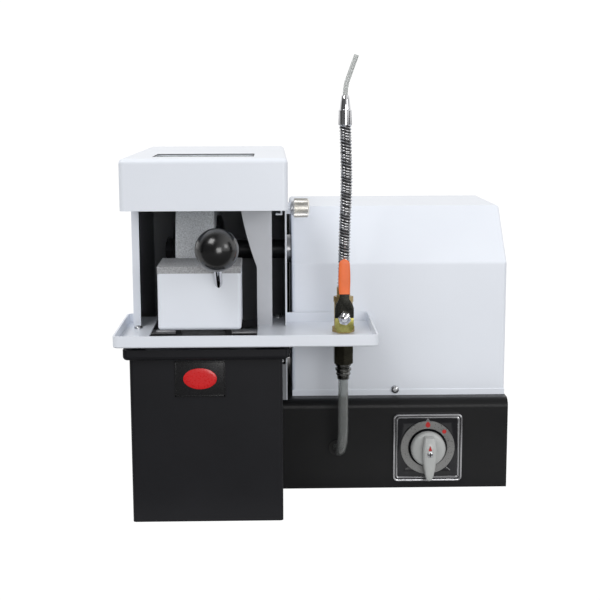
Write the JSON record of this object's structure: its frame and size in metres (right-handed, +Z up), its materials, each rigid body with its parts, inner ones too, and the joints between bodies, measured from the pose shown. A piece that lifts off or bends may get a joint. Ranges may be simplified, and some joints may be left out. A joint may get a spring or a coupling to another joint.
{
  "type": "wet abrasive wheel grinding machine",
  "caption": "Bench-top wet grinding machine: one belt-driven wheel in a hooded chamber, ball-handled rest, splash tray, pull-out tank, cam switch and a tap with a gooseneck hose.",
  "frame": {"origin": "middle of the machine's footprint, on the bench", "axes": "+Z up from the bench, front of the machine towards -Y, motor towards +X"},
  "size_m": [0.349, 0.325, 0.394],
  "materials": {
    "black_paint": "fine-textured satin powder coat",
    "white_paint": "smooth semi-gloss powder coat",
    "grey_paint": "satin grey paint",
    "stainless": "brushed",
    "zinc_steel": "bright zinc plate",
    "nickel": "satin nickel plate",
    "chrome": "polished chrome plate",
    "clear_sheet": "clear polycarbonate",
    "clear_tube": "clear flexible vinyl",
    "abrasive": null,
    "rough_grey": "rough knurled wear face",
    "black_phenolic": "polished phenolic",
    "black_plastic": "moulded",
    "black_rubber": "moulded rubber",
    "brass": "machined brass",
    "yellow_zinc": "yellow passivated plate",
    "dark_fitting": "dark bronzed hexagon",
    "orange_vinyl": "soft dipped vinyl",
    "hose_steel": "wound flexible metal hose",
    "badge": "gloss black plate with a plain red emblem",
    "knob_grey": "pale grey moulded plastic",
    "dial_silver": "satin anodised ring",
    "switch_face": "chrome frames round a black face",
    "cast_grey": "painted casting",
    "motor_grey": "die-cast shell",
    "lamination": "stacked steel sheets",
    "cast_alloy": "sand-cast alloy"
  },
  "bodies": {
    "frame": {"base_housing": "black_paint", "bottom_plate": "black_paint", "case_screws": "zinc_steel", "hose_grommet": "black_rubber", "cable_gland": "black_plastic", "inlet_spigot": "brass", "feed_tube": "clear_tube", "splash_tray": "white_paint", "tray_brackets": "zinc_steel", "chamber_shell": "white_paint", "inner_baffle": "grey_paint", "drip_pan": "stainless", "hinge_fixed_leaf": "zinc_steel", "hinge_pin": "zinc_steel", "bearing_housing": "cast_grey", "ball_bearings": "zinc_steel", "motor_housing": "motor_grey", "end_bells": "motor_grey", "stator": "lamination", "fan_cover": "black_plastic", "drive_belt": "black_rubber", "motor_mount": "zinc_steel", "run_capacitor": "cast_alloy", "motor_cover": "white_paint", "valve_body": "brass", "tail_fitting": "dark_fitting", "rest_pivot": "stainless", "switch_plate": "switch_face", "switch_dial": "dial_silver", "switch_body": "black_plastic"},
    "tank": {"water_tank": "black_paint", "tank_badge": "badge"},
    "cap": {"hood_cap": "white_paint", "cap_window": "clear_sheet", "hinge_moving_leaf": "zinc_steel"},
    "lock_slider": {"lock_washer": "zinc_steel"},
    "lock": {"lock_screw": "nickel"},
    "wheel": {"grinding_wheel": "abrasive", "wheel_flanges": "zinc_steel", "arbor_nut": "zinc_steel", "spindle": "zinc_steel", "spindle_pulley": "cast_alloy"},
    "motor_rotor": {"rotor": "lamination", "motor_shaft": "zinc_steel", "cooling_fan": "black_plastic", "motor_pulley": "cast_alloy"},
    "rest": {"rest_arm": "cast_alloy", "rest_plate": "rough_grey", "rest_front": "white_paint", "lever_rod": "chrome", "ball_knob": "black_phenolic"},
    "tap_lever": {"valve_lever": "yellow_zinc", "lever_sleeve": "orange_vinyl", "lever_nut": "zinc_steel"},
    "hose_low": {"gooseneck_lower": "hose_steel"},
    "hose_mid": {"gooseneck_middle": "hose_steel"},
    "hose_top": {"gooseneck_upper": "hose_steel", "hose_nozzle": "chrome", "nozzle_tip": "clear_tube"},
    "switch_grip": {"switch_knob": "knob_grey"}
  },
  "joints": [
    {"name": "tank_slide", "type": "slide", "parent": "frame", "child": "tank", "axis": [0, -1, 0], "range_m": [0, 0.12]},
    {"name": "cap_hinge", "type": "hinge", "parent": "frame", "child": "cap", "pos_m": [-0.0985, 0.1475, 0.2655], "axis": [-1, 0, 0], "range_deg": [0, 95]},
    {"name": "lock_travel", "type": "slide", "parent": "frame", "child": "lock_slider", "axis": [1, 0, 0], "range_m": [0, 0.00375]},
    {"name": "lock_turn", "type": "hinge", "parent": "lock_slider", "child": "lock", "pos_m": [-0.0225, -0.0405, 0.26], "axis": [1, 0, 0], "range_deg": [0, 1081]},
    {"name": "wheel_spin", "type": "hinge", "parent": "frame", "child": "wheel", "pos_m": [-0.11, 0.0125, 0.217], "axis": [1, 0, 0], "continuous": true},
    {"name": "motor_spin", "type": "hinge", "parent": "frame", "child": "motor_rotor", "pos_m": [0.0515, 0.0825, 0.148], "axis": [1, 0, 0], "continuous": true},
    {"name": "rest_swing", "type": "hinge", "parent": "frame", "child": "rest", "pos_m": [-0.1031, -0.0375, 0.146], "axis": [1, 0, 0], "range_deg": [0, 15]},
    {"name": "tap_turn", "type": "hinge", "parent": "frame", "child": "tap_lever", "pos_m": [0.0205, -0.0955, 0.169], "axis": [0, 1, 0], "range_deg": [0, 90]},
    {"name": "hose_bend_low", "type": "hinge", "parent": "frame", "child": "hose_low", "pos_m": [0.0205, -0.0805, 0.196], "axis": [0, 1, 0], "range_deg": [-5, 20]},
    {"name": "hose_bend_mid", "type": "hinge", "parent": "hose_low", "child": "hose_mid", "pos_m": [0.0215, -0.0805, 0.242], "axis": [0, 1, 0], "range_deg": [-5, 20]},
    {"name": "hose_bend_top", "type": "hinge", "parent": "hose_mid", "child": "hose_top", "pos_m": [0.0229, -0.0805, 0.288], "axis": [0, 1, 0], "range_deg": [-5, 20]},
    {"name": "switch_turn", "type": "hinge", "parent": "frame", "child": "switch_grip", "pos_m": [0.1005, -0.0575, 0.0388], "axis": [0, 1, 0], "range_deg": [0, 45]}
  ],
  "couplings": [
    {"joint": "lock_turn", "follows": "lock_travel", "rad_per_m": 5026.5},
    {"joint": "motor_spin", "follows": "wheel_spin", "ratio": 0.66667},
    {"joint": "hose_bend_mid", "follows": "hose_bend_low", "ratio": 1},
    {"joint": "hose_bend_top", "follows": "hose_bend_low", "ratio": 1}
  ]
}
